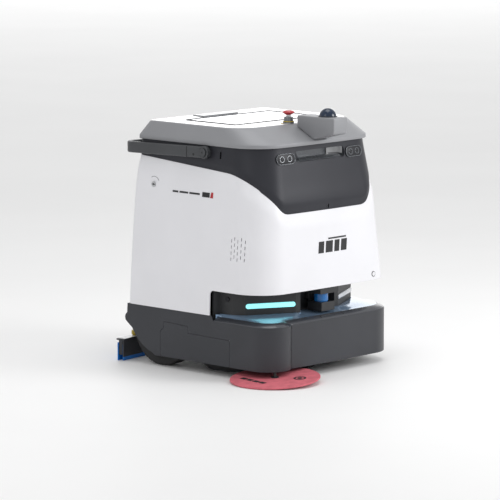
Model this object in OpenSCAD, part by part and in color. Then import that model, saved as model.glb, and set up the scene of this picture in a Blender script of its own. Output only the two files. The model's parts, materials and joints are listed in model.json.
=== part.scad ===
// Robotic floor cleaner: a free-driving scrubber-dryer with a sprung bumper, a hinged lid,
// a carrying bail, two scrub brushes, a side brush and a lifting squeegee.
// +Z is up, the front faces -Y, the machine's own right side is -X.
// The origin lies on the floor, midway between the two drive wheels.

/* [Body] */
// Half width of the body casing at its bottom edge
body_half_w = 331; // [326:1:336]
// Distance from the drive axle forward to the casing's lower front corners
body_front = 488; // [484:1:492]
// Distance from the drive axle back to the casing's rear face
body_rear = 134; // [132:1:136]
// Height of the casing's lower edge at the front
casing_low = 285; // [283:1:288]
// Height of the casing's lower edge along the sides and rear
skirt_low = 201; // [199:1:203]
// Height of the casing's upper edge, just under the lid
casing_top = 761.5; // [760:0.5:762]
// Wall thickness of the moulded covers
wall = 4; // [3.5:0.5:4]

/* [Lid] */
// Half width of the lid's rim
rim_half_w = 300; // [299:1:301]
// Height of the lid's rim band
rim_band = 12.5; // [11:0.5:14]
// Height of the lid's flat top above the floor
lid_top = 826; // [822:1:830]
// Half width of the sensor nose on the lid
nose_half_w = 34; // [33:1:38]
// Radius of the clear lidar dome
dome_r = 29; // [27:1:30]
// Width of the display
screen_w = 400; // [360:1:404]
// Depth of the display
screen_d = 226; // [200:1:230]

/* [Base] */
// Half width of the dark lower base
base_half_w = 331; // [329:1:332]
// Height of the base's lower edge
base_low = 36; // [34:1:38]
// Height of the base's upper edge at the front
base_top = 182; // [180:1:184]
// Radius of the housing over the side brush
lobe_r = 75; // [72:1:76]

/* [Running gear] */
// Radius of the drive wheels
wheel_r = 127; // [127:1:127]
// Width of the drive wheels
wheel_w = 50; // [46:1:50]
// Radius of the front caster's wheel
caster_r = 37.5; // [37.5:0.5:37.5]
// Radius of the scrub brushes
scrub_r = 122; // [115:1:123]
// Radius of the side brush
side_brush_r = 150; // [140:1:152]
// Angle that the side brush leans outward
side_brush_lean = 4.2; // [3.5:0.1:4.2]
// Half width of the squeegee
squeegee_half_w = 345; // [330:1:348]

/* [Motion] */
// Travel of the safety bumper
bumper_travel = 8; // [6:1:9]

/* [Hidden] */
$fn = 64;
// Gap between neighbouring covers
seam = 0.5;
// Radial clearance of a shaft in its hole
running = 0.06;

// ---- outlines ----

// The casing tapers upward: height and half width, front reach or rear reach at that height
HALF_W = [[192, body_half_w + 3], [285, body_half_w], [440, 321], [584, 311], [638, 305], [700, 299],
    [763, 292]];
FRONT = [[192, body_front + 4], [285, body_front], [440, 474], [584, 464], [638, 452], [700, 441],
    [763, 431]];
REAR = [[192, body_rear + 1], [440, 132], [584, 128.5], [638, 125.5], [700, 120], [763, 112]];
LEVELS = [skirt_low, casing_low, 440, 584, 638, 700, casing_top];
front_corner = 112;
rear_corner = 25;
front_bulge = 10;

// Points on an arc about c, from angle a to angle b, n steps
function arc(c, r, a, b, n) = [for (i = [0:n]) c + r * [cos(a + (b - a) * i / n), sin(a + (b - a) * i / n)]];
// Rounded outline seen from above, counter-clockwise, with a front that bulges gently
function outline(hw, front, rear, rc, rr, bulge) =
    let (raw = concat(
        arc([hw - rr, rear - rr], rr, 0, 90, 4),
        arc([rr - hw, rear - rr], rr, 90, 180, 4),
        arc([rc - hw, rc - front], rc, 180, 270, 12),
        [for (i = [1:5]) [(hw - rc) * (i / 3 - 1), -front]],
        arc([hw - rc, rc - front], rc, 270, 360, 12)))
    [for (p = raw) p.y < 0 ? [p.x, p.y - bulge * (1 - pow(p.x / hw, 2))] : p];
// Outline of the casing at height z, drawn in by the inset d
function casing_outline(z, d) = outline(lookup(z, HALF_W) - d, lookup(z, FRONT) - d, lookup(z, REAR) - d,
    front_corner - d, rear_corner - d, front_bulge);
// Unit vector, and a closed outline moved inward by d
function unit(v) = v / norm(v);
function inset(p, d) = let (n = len(p)) [for (i = [0:n - 1])
    let (u = unit(p[i] - p[(i + n - 1) % n]), v = unit(p[(i + 1) % n] - p[i]),
        a = [-u.y, u.x], b = [-v.y, v.x])
    p[i] + d * (a + b) / (1 + a * b)];

// Solid through a stack of outlines that all have the same number of points
module loft(zs, rings) {
    n = len(rings[0]);
    m = len(zs);
    points = [for (k = [0:m - 1]) for (p = rings[k]) [p.x, p.y, zs[k]]];
    sides = [for (k = [0:m - 2]) for (i = [0:n - 1])
        [k * n + i, (k + 1) * n + i, (k + 1) * n + (i + 1) % n, k * n + (i + 1) % n]];
    faces = concat([[for (i = [0:n - 1]) i]], [[for (i = [n - 1:-1:0]) (m - 1) * n + i]],
        [for (q = sides) [q[0], q[1], q[2]]], [for (q = sides) [q[0], q[2], q[3]]]);
    polyhedron(points, faces);
}

// Stadium-shaped plate of length l and height h, thickness t, standing in the XZ plane
module capsule(l, h, t) {
    rotate([90, 0, 0]) linear_extrude(t, center = true) {
        square([l - h, h], center = true);
        translate([(h - l) / 2, 0]) circle(h / 2);
        translate([(l - h) / 2, 0]) circle(h / 2);
    }
}
// Box given by its lowest and highest corners
module block(a, b) {
    translate(a) cube(b - a);
}
// Cylinder along X from x0 to x1
module rod_x(x0, x1, y, z, r) {
    translate([x0, y, z]) rotate([0, 90, 0]) cylinder(r = r, h = x1 - x0);
}
module rod_y(y0, y1, x, z, r) {
    translate([x, y0, z]) rotate([-90, 0, 0]) cylinder(r = r, h = y1 - y0);
}
module rod_z(z0, z1, x, y, r) {
    translate([x, y, z0]) cylinder(r = r, h = z1 - z0);
}
// Its children and their mirror image on the other side of the machine
module both_sides() {
    children();
    mirror([1, 0, 0]) children();
}

// ---- casing ----

fascia_low = 544;
fascia_flat = 176;
fascia_slope = 48;
fillet = 55;
side_sweep = 220;

// Upper region seen from the front: a flat lower edge that rises towards both corners
module front_mask(drop) {
    a = arc([fascia_flat, fascia_low + fillet - drop], fillet, -90, fascia_slope - 90, 6);
    e = a[6];
    far = 360;
    rise = e.y + (far - e.x) * tan(fascia_slope);
    right = concat(a, [[far, rise]]);
    rotate([90, 0, 0]) linear_extrude(1200, center = true)
        polygon(concat([for (i = [len(right) - 1:-1:0]) [-right[i].x, right[i].y]], right,
            [[far, 900], [-far, 900]]));
}
// Upper region seen from the side: a gently rising lower edge that sweeps down at the front
module side_mask(drop) {
    tilt = 4.2;
    c = [-284, 458.3 - drop];
    a = arc(c, side_sweep, 90 + tilt, 131, 8);
    foot = a[8];
    rear_y = 200;
    rotate([90, 0, 90]) linear_extrude(1200, center = true)
        polygon(concat([[rear_y, a[0].y + (rear_y - a[0].x) * tan(tilt)]], a,
            [foot - [20, 70], foot - [24, 220], [-620, foot.y - 220], [-620, 900], [rear_y, 900]]));
}
module fascia_region(drop) {
    intersection() {
        front_mask(drop);
        side_mask(drop);
    }
}
module casing_wall() {
    over = concat([LEVELS[0] - 1], [for (i = [1:len(LEVELS) - 2]) LEVELS[i]], [casing_top + 1]);
    difference() {
        loft(LEVELS, [for (z = LEVELS) casing_outline(z, 0)]);
        loft(over, [for (z = over) casing_outline(z, wall)]);
    }
}
step_y = -255;
grille_y = -372;
grille_z = 430;
lock_y = 29;
lock_z = 614;
lock_r = 9;
module body_shell() {
    color("white") difference() {
        casing_wall();
        fascia_region(seam);
        block([-400, -600, 150], [400, step_y, casing_low]);
        rod_x(-345, -290, lock_y, lock_z, lock_r + 0.3);
        rod_y(-520, -470, cap_x, cap_z, 7.2);
        speaker_slots();
        charge_recess();
    }
}
// Two columns of upright sound slots, the middle ones staggered by half a pitch
module speaker_slots() {
    for (c = [-2:2], r = [0:3])
        block([-345, grille_y + 14 * c - 1.5, grille_z - 38 + 20 * r + (c % 2 == 0 ? 0 : 8)],
            [-290, grille_y + 14 * c + 1.5, grille_z - 26 + 20 * r + (c % 2 == 0 ? 0 : 8)]);
}
grip_half = 120;
grip_low = 710;
grip_high = 746;
eye_x = 167;
eye_z = 724;
eye_w = 84;
eye_h = 36;
module at_eyes() {
    for (s = [-1, 1]) translate([s * eye_x, -444.6, eye_z]) rotate([-9, 0, s * 4]) children();
}
pivot_y = -209;
pivot_z = 740;
module fascia() {
    color("dimgray") difference() {
        intersection() {
            casing_wall();
            fascia_region(0);
        }
        block([-grip_half, -500, grip_low], [grip_half, -400, grip_high]);
        at_eyes() capsule(eye_w + 1, eye_h + 1, 30);
        rod_x(-340, 340, pivot_y, pivot_z, 18.3);
    }
}
module grip_scoop() {
    color("gray") difference() {
        intersection() {
            block([-grip_half - 5, -460, grip_low - 5], [grip_half + 5, -392, grip_high + 5]);
            loft(LEVELS, [for (z = LEVELS) casing_outline(z, wall + 0.3)]);
        }
        block([-grip_half, -460, grip_low], [grip_half, -397, grip_high]);
    }
}
module camera_windows() {
    color("black") at_eyes() capsule(eye_w, eye_h, 3);
}
module camera_modules() {
    color("darkslategray") at_eyes() translate([0, 2, 0]) {
        block([-36, 4, -12], [36, 20, 12]);
        for (x = [-17, 17]) translate([x, 4.5, 0]) rotate([90, 0, 0]) cylinder(r = 9, h = 4);
    }
}
module key_lock() {
    color("silver") {
        rod_x(-310, -278, lock_y, lock_z, lock_r);
        block([-282, lock_y - 4, lock_z - 26], [-278, lock_y + 4, lock_z]);
    }
}
cap_x = 219;
cap_z = 305;
module front_cap() {
    color("lightgray") rod_y(-493.5, -480, cap_x, cap_z, 7);
}
module speaker() {
    color("black") {
        rod_x(-302, -280, grille_y, grille_z, 34);
        rod_x(-280, -266, grille_y, grille_z, 22);
    }
}

// ---- handle ----

handle_in = 303;
handle_out = 316;
handle_rear = 171;
handle_droop = 1.3;
handle_h = 38;
hub_r = 21;
pin_r = 7;
module handle_pivots() {
    color("dimgray") both_sides() difference() {
        union() {
            rod_x(282, handle_in - 0.4, pivot_y, pivot_z, 18);
            rod_x(handle_in - 0.4, handle_out + 1, pivot_y, pivot_z, pin_r);
            rod_x(handle_out + 0.6, handle_out + 4, pivot_y, pivot_z, 14);
        }
        rod_x(handle_out + 2, handle_out + 5, pivot_y, pivot_z, 3);
    }
}
module round_u(half, rear, r, front) {
    translate([-half, front]) square([2 * half, rear - r - front]);
    translate([r - half, rear - r - 1]) square([2 * (half - r), r + 1]);
    for (s = [-1, 1]) translate([s * (half - r), rear - r]) circle(r);
}
module carry_handle() {
    reach = handle_rear - pivot_y;
    color("dimgray") difference() {
        union() {
            translate([0, pivot_y, pivot_z]) rotate([-handle_droop, 0, 0]) translate([0, 0, -handle_h / 2])
                linear_extrude(handle_h) difference() {
                    round_u(handle_out, reach, 42, 0);
                    round_u(handle_in, reach - 20, 20, -1);
                }
            both_sides() rod_x(handle_in, handle_out, pivot_y, pivot_z, hub_r);
        }
        rod_x(-340, 340, pivot_y, pivot_z, pin_r + running);
    }
}

// ---- lid ----

lid_low = casing_top + 1;
lid_levels = [lid_low, lid_low + rim_band, lid_top];
function rim_outline(d) = outline(rim_half_w - d, 440 - d, 121 - d, 110 - d, 28 - d, 12);
function lid_top_outline(d) = outline(284 - d, 347 - d, 80 - d, 85 - d, 24 - d, 7);
hinge_y = 127;
hinge_z = 756.5;
hinge_r = 5;
hinge_x = 170;
module lid() {
    color("darkgray") difference() {
        loft(lid_levels, [rim_outline(0), rim_outline(0), lid_top_outline(0)]);
        loft([lid_low - 1, lid_low + rim_band - 1, lid_top - wall],
            [rim_outline(wall), rim_outline(wall), lid_top_outline(wall)]);
        screen_cut();
    }
}
// Hinge knuckles and pins fixed to the casing's rear
module body_hinges() {
    color("gray") both_sides() {
        for (x = [hinge_x - 22, hinge_x + 12]) difference() {
            union() {
                rod_x(x, x + 10, hinge_y, hinge_z, hinge_r);
                block([x, 115.4, hinge_z - 16], [x + 10, 119, hinge_z + 3]);
                block([x, 117, hinge_z - hinge_r], [x + 10, hinge_y - 2, hinge_z]);
            }
            rod_x(x - 1, x + 11, hinge_y, hinge_z, 2.5);
        }
        rod_x(hinge_x - 22, hinge_x + 22, hinge_y, hinge_z, 2.5);
    }
}
module lid_hinge_leaves() {
    color("gray") both_sides() difference() {
        union() {
            rod_x(hinge_x - 11.5, hinge_x + 11.5, hinge_y, hinge_z, hinge_r);
            block([hinge_x - 11.5, hinge_y - 5.9, hinge_z], [hinge_x + 11.5, hinge_y - 1, hinge_z + 17]);
        }
        rod_x(hinge_x - 13, hinge_x + 13, hinge_y, hinge_z, 2.5 + running);
    }
}
screen_y = -136;
bezel = 6;
module screen_cut() {
    block([-screen_w / 2 - bezel, screen_y - screen_d / 2 - bezel, lid_top - 10],
        [screen_w / 2 + bezel, screen_y + screen_d / 2 + bezel, lid_top + 5]);
}
module screen_bezel() {
    color("dimgray") difference() {
        block([-screen_w / 2 - bezel + 0.3, screen_y - screen_d / 2 - bezel + 0.3, lid_top - 8],
            [screen_w / 2 + bezel - 0.3, screen_y + screen_d / 2 + bezel - 0.3, lid_top + 1]);
        block([-screen_w / 2, screen_y - screen_d / 2, lid_top - 4],
            [screen_w / 2, screen_y + screen_d / 2, lid_top + 2]);
    }
}
module screen_glass() {
    color("white") block([-screen_w / 2 + 0.3, screen_y - screen_d / 2 + 0.3, lid_top - 3.8],
        [screen_w / 2 - 0.3, screen_y + screen_d / 2 - 0.3, lid_top + 0.6]);
}
module lid_rear_panel() {
    color("gray") block([-85, 12, lid_top + 0.1], [85, 62, lid_top + 2.6]);
}

// Nose profile from the side: it rests on the lid's front slope and hangs out past it
nose_tip = -538;
nose_top = 855;
slope_y0 = -452;
slope_y1 = -354;
module sensor_nose() {
    z0 = lid_low + rim_band;
    rise = (lid_top - z0) / (slope_y1 - slope_y0);
    heel = -446;
    back = -372;
    profile = [[back, z0 + (back - slope_y0) * rise + 0.4], [back, nose_top - 8], [back - 7, nose_top],
        [nose_tip + 5, nose_top], [nose_tip, nose_top - 5], [nose_tip, 806], [nose_tip + 5, 800],
        [heel, z0 + (heel - slope_y0) * rise + 0.4]];
    color("darkgray") difference() {
        rotate([90, 0, 90]) linear_extrude(2 * nose_half_w, center = true) polygon(profile);
        rod_z(nose_top - 34, nose_top + 1, 0, dome_y, dome_r - 3);
    }
}
dome_y = -480;
module lidar_dome() {
    color("midnightblue") difference() {
        union() {
            translate([0, dome_y, nose_top + 0.2]) cylinder(r = dome_r, h = 3);
            intersection() {
                translate([0, dome_y, nose_top + 0.2]) sphere(dome_r);
                block([-40, dome_y - 40, nose_top + 0.2], [40, dome_y + 40, nose_top + 60]);
            }
        }
        translate([0, dome_y, nose_top + 0.2]) sphere(dome_r - 3);
    }
}
module lidar_rotor() {
    color("silver") rod_z(nose_top - 28, nose_top + 18, 0, dome_y, 15);
}
estop_x = -33;
estop_y = -333;
module estop_base() {
    color("gold") difference() {
        union() {
            rod_z(lid_top + 0.2, lid_top + 4, estop_x, estop_y, 19);
            rod_z(lid_top + 4, lid_top + 22, estop_x, estop_y, 16);
        }
        rod_z(lid_top + 8, lid_top + 23, estop_x, estop_y, 8 + running);
    }
}
module estop_stem() {
    color("gray") {
        rod_z(lid_top + 14, lid_top + 28, estop_x, estop_y, 8);
        rod_z(lid_top + 28, lid_top + 34, estop_x, estop_y, 5);
    }
}
module estop_button() {
    color("red") translate([estop_x, estop_y, lid_top + 28]) rotate_extrude()
        polygon(concat([[5 + running, 0.3], [12, 0.3], [21, 8]], arc([0, -18], 33.5, 50.8, 90, 6),
            [[0, 6.5], [5 + running, 6.5]]));
}

// ---- base ----

lobe_x = -256;
lobe_y = -452;
base_corner = 120;
base_front = 502;
// Centre of the left front corner, set back so that the corner runs into the bulging front
corner_y = base_corner - base_front - 6;
crease_x = -206;
bulge_r = 5483;
// Outline of the base seen from above, drawn in by d, with the housing over the side brush at its right front
module base_plan(d) {
    translate([d - base_half_w, lobe_y]) square([base_half_w - d, 147 - lobe_y]);
    translate([0, corner_y]) square([base_half_w - d, 147 - corner_y]);
    translate([lobe_x, lobe_y]) circle(lobe_r - d);
    intersection() {
        union() {
            translate([lobe_x, d - base_front - front_bulge])
                square([base_half_w - base_corner - lobe_x, 200]);
            translate([base_half_w - base_corner - 1, corner_y]) circle(base_corner - d + 1);
        }
        translate([0, bulge_r + d - base_front - front_bulge]) circle(bulge_r, $fn = 720);
    }
}
// The side plates seen from the side: a rounded bump at the rear over a curved wheel arch
module base_profile() {
    rotate([90, 0, 90]) linear_extrude(900, center = true)
        polygon(concat([[-700, base_low], [-20, base_low]], arc([-34, 208], 172, -74, -31, 7),
            [[125, 127]], arc([130, 152], 17, -60, 60, 5),
            [[131, 180], [136, skirt_low - 0.6], [-700, skirt_low - 0.6]]));
}
door_front = -342;
door_rear = -22;
// Seam of the side door seen from the side; its upper edge steps up towards the rear
function door_outline(low, d) = inset([[door_rear, low], [door_rear, 122], [-37, 134], [-40, 156],
    [-149, 152], [-154, 129], [door_front, 126], [door_front, low]], d);
module door_prism(low, d) {
    rotate([90, 0, 90]) linear_extrude(wall + 4, center = true) polygon(door_outline(low, d));
}
module base_shell() {
    color("dimgray") difference() {
        union() {
            intersection() {
                linear_extrude(skirt_low) difference() {
                    base_plan(0);
                    base_plan(wall);
                }
                base_profile();
            }
            rear_bump();
        }
        block([-400, -700, base_top], [400, step_y - 10, 300]);
        bumper_space();
        for (s = [-1, 1]) {
            translate([s * (base_half_w - wall / 2), 0, 0]) door_prism(base_low - 2, -0.4);
            rod_z(0, 131.5, s * (base_half_w - wall), door_front - 0.2, 4.8);
        }
    }
}
// Closed rear face of the base, a rounded strip from side to side
module rear_bump() {
    outer = concat(arc([130, 152], 17, -60, 60, 5), [[131, 180], [136, skirt_low - 0.6]]);
    half = base_half_w - wall;
    rotate([90, 0, 90]) linear_extrude(2 * half, center = true)
        polygon(concat(outer, [for (i = [len(outer) - 1:-1:0]) outer[i] - [wall + 1, 0]]));
}
// Everything that belongs to the bumper: from the crease across the front and round the left corner
bumper_end = -356;
module bumper_space() {
    block([crease_x - 0.5, -700, 0], [400, -480, 300]);
    block([150, -700, 0], [400, bumper_end + bumper_travel + 2, base_top + 0.5]);
}
module bumper() {
    color("dimgray") difference() {
        translate([0, 0, base_low]) linear_extrude(base_top - base_low) difference() {
            base_plan(0);
            base_plan(wall + 1);
            translate([-400, -700]) square([400 + crease_x, 500]);
            translate([-400, bumper_end]) square([800, 600]);
        }
    }
    color("dimgray") for (x = [-110, 120]) difference() {
        block([x - 14, -508, 96], [x + 14, -484, 124]);
        rod_y(-500, -480, x, 110, 6 + running);
    }
}
module bumper_guides() {
    color("silver") for (x = [-110, 120]) {
        rod_y(-492, -440, x, 110, 6);
        block([x - 16, -442, 92], [x + 16, -432, plate_low - 0.1]);
    }
}
deck_in = 26;
module front_deck() {
    color("dimgray") translate([0, 0, base_top + 0.4]) linear_extrude(13) difference() {
        intersection() {
            base_plan(deck_in);
            translate([-400, -600]) square([800, 600 + step_y - 12]);
        }
        front_wall_plan(-3);
    }
}
wall_line = [[316, -250], [316, -258], [292, -264], [286, -318], [262, -351], [104, -434], [84, -436],
    [76, -402], [-76, -402], [-84, -436], [-104, -434], [-262, -351], [-286, -318], [-292, -264],
    [-316, -258], [-316, -250]];
function wall_ccw() = [for (i = [len(wall_line) - 1:-1:0]) wall_line[i]];
module front_wall_plan(d) {
    polygon(inset(wall_ccw(), d));
}
module front_wall() {
    color("black") difference() {
        union() {
            translate([0, 0, base_top + 0.4]) linear_extrude(casing_low - base_top) difference() {
                front_wall_plan(0);
                front_wall_plan(wall);
            }
            translate([0, 0, casing_low]) linear_extrude(3) difference() {
                intersection() {
                    polygon(casing_outline(casing_low, wall + 0.5));
                    translate([-400, -600]) square([800, 350]);
                }
                front_wall_plan(wall);
            }
        }
        for (s = [-1, 1]) at_light(s) capsule(174.5, 17, 30);
        both_sides() rod_x(270, 300, -296, 255, 8.3);
    }
}
light_z = 233;
module at_light(s) {
    translate([s * 183, -392.5, light_z]) rotate([0, 0, s * 27.7]) children();
}
module light_bars() {
    color("cyan") for (s = [-1, 1]) at_light(s) translate([0, 0.5, 0]) capsule(174, 16.5, 8);
}
module corner_sensors() {
    color("black") both_sides() rod_x(272, 291, -296, 255, 8);
}
scan_y = -452;
module scan_lidar_housing() {
    color("black") difference() {
        union() {
            block([-44, scan_y - 38, 264], [44, scan_y + 38, casing_low - 0.3]);
            block([-32, scan_y - 32, 205], [32, scan_y + 32, 234]);
            block([-24, scan_y + 24, 234], [24, scan_y + 36, 264]);
            block([-30, scan_y + 32, 240], [30, -402.3, 282]);
        }
        rod_z(208, 234.1, 0, scan_y, 22.1);
    }
}
module scan_lidar_window() {
    color("royalblue") difference() {
        rod_z(234.1, 263.9, 0, scan_y, 23.5);
        rod_z(234, 264, 0, scan_y, 21);
    }
}
module scan_lidar_rotor() {
    color("silver") rod_z(210, 262, 0, scan_y, 19);
}

// ---- frame and internal units ----

// Height of the chassis plate, from its underside to its top
plate_low = base_top - 6.2;
plate_top = base_top + 0.2;
module chassis() {
    color("gray") difference() {
        union() {
            block([-225, -444, plate_low], [225, -380, plate_top]);
            block([-316, -380, plate_low], [316, -136, plate_top]);
            block([-243, -137, plate_low], [243, 124, plate_top]);
            both_sides() {
                block([240, -134, 70], [246, 124, plate_top]);
                block([30.4, 58, 92], [37, 84, plate_top]);
                block([218, -434, 100], [225, -140, plate_top]);
            }
            rod_x(-37, 37, arm_y, arm_z, 6);
        }
        both_sides() rod_x(238, 248, 0, wheel_r, 16);
    }
}
module upper_frame() {
    color("slategray") {
        for (s = [-1, 1]) {
            for (y = [-238, 108]) block([s * 232 - 10, y - 10, plate_top], [s * 232 + 10, y + 10, 338]);
            block([s * 232 - 10, -400, 338], [s * 232 + 10, 118, 350]);
        }
        for (y = [-330, -60]) block([-222, y - 10, 338], [222, y + 10, 350]);
    }
}
module hollow_block(a, b) {
    skin = [tank_wall, tank_wall, tank_wall];
    difference() {
        block(a, b);
        block(a + skin, b - skin);
    }
}
tank_wall = 5;
module water_tanks() {
    color("aliceblue") {
        hollow_block([-270, -214, 350.5], [270, 104, 690]);
        rod_z(690, 706, 150, -60, 70);
        hollow_block([-262, -404, 350.5], [262, -222, 660]);
        rod_z(660, 676, -170, -312, 40);
    }
}
module power_unit() {
    color("black") {
        block([-150, -70, plate_top + 0.2], [150, 96, 322]);
        block([-200, -232, plate_top + 0.2], [-40, -86, 316]);
        rod_z(plate_top + 0.2, 326, 120, -160, 62);
    }
}
charge_z = 250;
module charge_recess() {
    block([-60, 100, charge_z - 30], [60, 150, charge_z + 30]);
}
module charge_contacts() {
    color("gold") {
        block([-66, 112, charge_z - 34], [66, 118, charge_z + 34]);
        for (s = [-1, 1]) block([s * 28 - 14, 117, charge_z - 9], [s * 28 + 14, 121, charge_z + 9]);
    }
}
module drive_motors() {
    color("black") both_sides() difference() {
        rod_x(110, 239.5, 0, wheel_r, 44);
        rod_x(200, 240, 0, wheel_r, 12 + running);
    }
}
module wheel_hub() {
    difference() {
        union() {
            rod_x(253, 305, 0, wheel_r, 30);
            for (a = [0:60:300]) translate([279, 0, wheel_r]) rotate([a, 0, 0])
                block([-16, -8, 24], [16, 8, 92]);
            difference() {
                rod_x(255, 303, 0, wheel_r, 98);
                rod_x(250, 310, 0, wheel_r, 86);
            }
            rod_x(205, 253, 0, wheel_r, 12);
        }
        rod_x(296, 306, 0, wheel_r, 10);
    }
}
module tyre() {
    difference() {
        rod_x(305 - wheel_w, 305, 0, wheel_r, wheel_r);
        rod_x(200, 306, 0, wheel_r, 98.02);
        for (a = [0:10:350]) translate([280, 0, wheel_r]) rotate([a, 0, 0])
            block([-26, -1.5, wheel_r - 4], [26, 1.5, wheel_r + 2]);
    }
}
module right_wheel_hub() {
    color("silver") mirror([1, 0, 0]) wheel_hub();
}
module left_wheel_hub() {
    color("silver") wheel_hub();
}
module right_tyre() {
    color("black") mirror([1, 0, 0]) tyre();
}
module left_tyre() {
    color("black") tyre();
}
caster_y = -410;
caster_trail = 22;
module caster_mount() {
    color("gray") difference() {
        block([-34, caster_y - 34, 104], [34, caster_y + 34, plate_low - 0.1]);
        rod_z(103, 150, 0, caster_y, 10 + running);
    }
}
module caster_fork() {
    color("silver") difference() {
        union() {
            rod_z(90, 148, 0, caster_y, 10);
            rod_z(84, 90, 0, caster_y + 6, 30);
            both_sides() block([17, caster_y + 2, 28], [21, caster_y + 34, 86]);
            rod_x(-21, 21, caster_y + caster_trail, caster_r, 5);
        }
    }
}
module caster_wheel() {
    color("black") difference() {
        rod_x(-16, 16, caster_y + caster_trail, caster_r, caster_r);
        rod_x(-17, 17, caster_y + caster_trail, caster_r, 5 + running);
    }
}

// ---- side doors ----

module side_door() {
    difference() {
        union() {
            translate([base_half_w - wall / 2, 0, 0]) intersection() {
                door_prism(base_low, 0.3);
                block([-wall / 2, -400, 0], [wall / 2, 0, 300]);
            }
            rod_z(base_low + 2, 125, base_half_w - wall, door_front, 4);
        }
        rod_z(0, 130, base_half_w - wall, door_front, 2 + running);
    }
}
module left_side_door() {
    color("dimgray") side_door();
}
module right_side_door() {
    color("dimgray") mirror([1, 0, 0]) side_door();
}
module door_hinge_pins() {
    color("silver") both_sides() {
        rod_z(base_low + 1, 131, base_half_w - wall, door_front, 2);
        block([base_half_w - wall - 12, door_front - 3, 130.5],
            [base_half_w - wall - 0.2, door_front + 5, 138]);
    }
}

// ---- scrubbing ----

scrub_x = 132;
scrub_y = -215;
module deck_plan(d) {
    square([2 * scrub_x, 2 * (scrub_r + d)], center = true);
    for (s = [-1, 1]) translate([s * scrub_x, 0]) circle(scrub_r + d);
}
module brush_deck() {
    color("dimgray") translate([0, scrub_y, 0]) difference() {
        translate([0, 0, 52]) linear_extrude(12) deck_plan(8);
        for (s = [-1, 1]) rod_z(50, 66, s * scrub_x, 0, 8 + running);
    }
}
module deck_skirt() {
    color("black") translate([0, scrub_y, 0]) difference() {
        translate([0, 0, 9]) linear_extrude(42.8) deck_plan(8);
        translate([0, 0, 8]) linear_extrude(45) deck_plan(4);
    }
}
module scrub_motors() {
    color("gray") for (s = [-1, 1]) difference() {
        rod_z(64.2, 136, s * scrub_x, scrub_y, 42);
        rod_z(64, 84, s * scrub_x, scrub_y, 8 + running);
    }
}
module scrub_brush(s) {
    rod_z(26, 46, s * scrub_x, scrub_y, scrub_r);
    rod_z(46, 80, s * scrub_x, scrub_y, 8);
    translate([s * scrub_x, scrub_y, 0]) for (ring = [[40, 52], [64, 76], [88, 100], [108, 120]])
        difference() {
        rod_z(0.5, 26, 0, 0, ring[1]);
        rod_z(0, 27, 0, 0, ring[0]);
    }
}
module right_scrub_brush() {
    color("darkslategray") scrub_brush(-1);
}
module left_scrub_brush() {
    color("darkslategray") scrub_brush(1);
}
brush_x = -280;
brush_y = -504;
brush_z = 11.7;
// Frame of the side brush: its axis leans so that the disc's outer edge is the lower one
module at_side_brush() {
    translate([brush_x, brush_y, brush_z]) rotate([0, -side_brush_lean, 10]) children();
}
module side_brush() {
    color("lightcoral") at_side_brush() {
        cylinder(r = side_brush_r, h = 5, $fn = 128);
        rod_z(5, 9, 0, 0, 14);
        rod_z(9, 78, 0, 0, 5);
    }
}
module side_brush_motor() {
    color("gray") difference() {
        union() {
            at_side_brush() rod_z(44, 100, 0, 0, 8.5);
            block([-283, -502, 60], [-226, -435, 120]);
            block([-262, -440, 119], [-228, -350, plate_low - 0.1]);
        }
        at_side_brush() rod_z(43, 82, 0, 0, 5 + running);
    }
}

// ---- squeegee ----

arm_y = 71;
arm_z = 106;
// The squeegee bows backward in a large arc; its rear face and its nozzle on the centre line
arc_r = 1800;
arc_c = 204 - arc_r;
nozzle_y = 193;
// Bent strip that follows the squeegee's curve: radii r0 to r1, heights z0 to z1
module bow(r0, r1, z0, z1, half) {
    a = asin(half / r1);
    translate([0, arc_c, 0]) rotate([0, 0, 90 - a]) rotate_extrude(angle = 2 * a, $fn = 256)
        translate([r0, z0]) square([r1 - r0, z1 - z0]);
}
module squeegee_bracket() {
    color("dimgray") {
        difference() {
            union() {
                bow(arc_r - 18, arc_r - 4, 20, 70, squeegee_half_w - 4);
                bow(arc_r - 26, arc_r - 22.2, 14, 71, squeegee_half_w - 4);
                bow(arc_r - 26, arc_r + 6, 70, 75, squeegee_half_w - 2);
                rod_z(75, 98, 0, nozzle_y, 24);
            }
            rod_z(10, 99, 0, nozzle_y, 5);
            rod_z(80, 99, 0, nozzle_y, 17);
            for (s = [-1, 1]) rod_z(60, 80, s * knob_x, knob_y, 4 + running);
        }
    }
}
module squeegee_blades() {
    color("royalblue") {
        bow(arc_r - 3.8, arc_r - 0.3, 0.5, 62, squeegee_half_w);
        bow(arc_r - 22, arc_r - 18.3, 0.5, 56, squeegee_half_w - 8);
    }
}
knob_x = 260;
knob_y = arc_c + sqrt(pow(arc_r - 11, 2) - pow(knob_x, 2));
module squeegee_knob(s) {
    rod_z(75.3, 80, s * knob_x, knob_y, 7);
    rod_z(80, 94, s * knob_x, knob_y, 10);
    rod_z(62, 76, s * knob_x, knob_y, 4);
}
module right_squeegee_knob() {
    color("gold") squeegee_knob(-1);
}
module left_squeegee_knob() {
    color("gold") squeegee_knob(1);
}
module squeegee_arm() {
    color("gray") {
        difference() {
            union() {
                block([-30, arm_y - 9, 97], [30, 162, 115]);
                both_sides() block([25.5, 140, 75.3], [40, 200, 104]);
            }
            rod_x(-50, 50, arm_y, arm_z, 6 + running);
        }
    }
}

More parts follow.
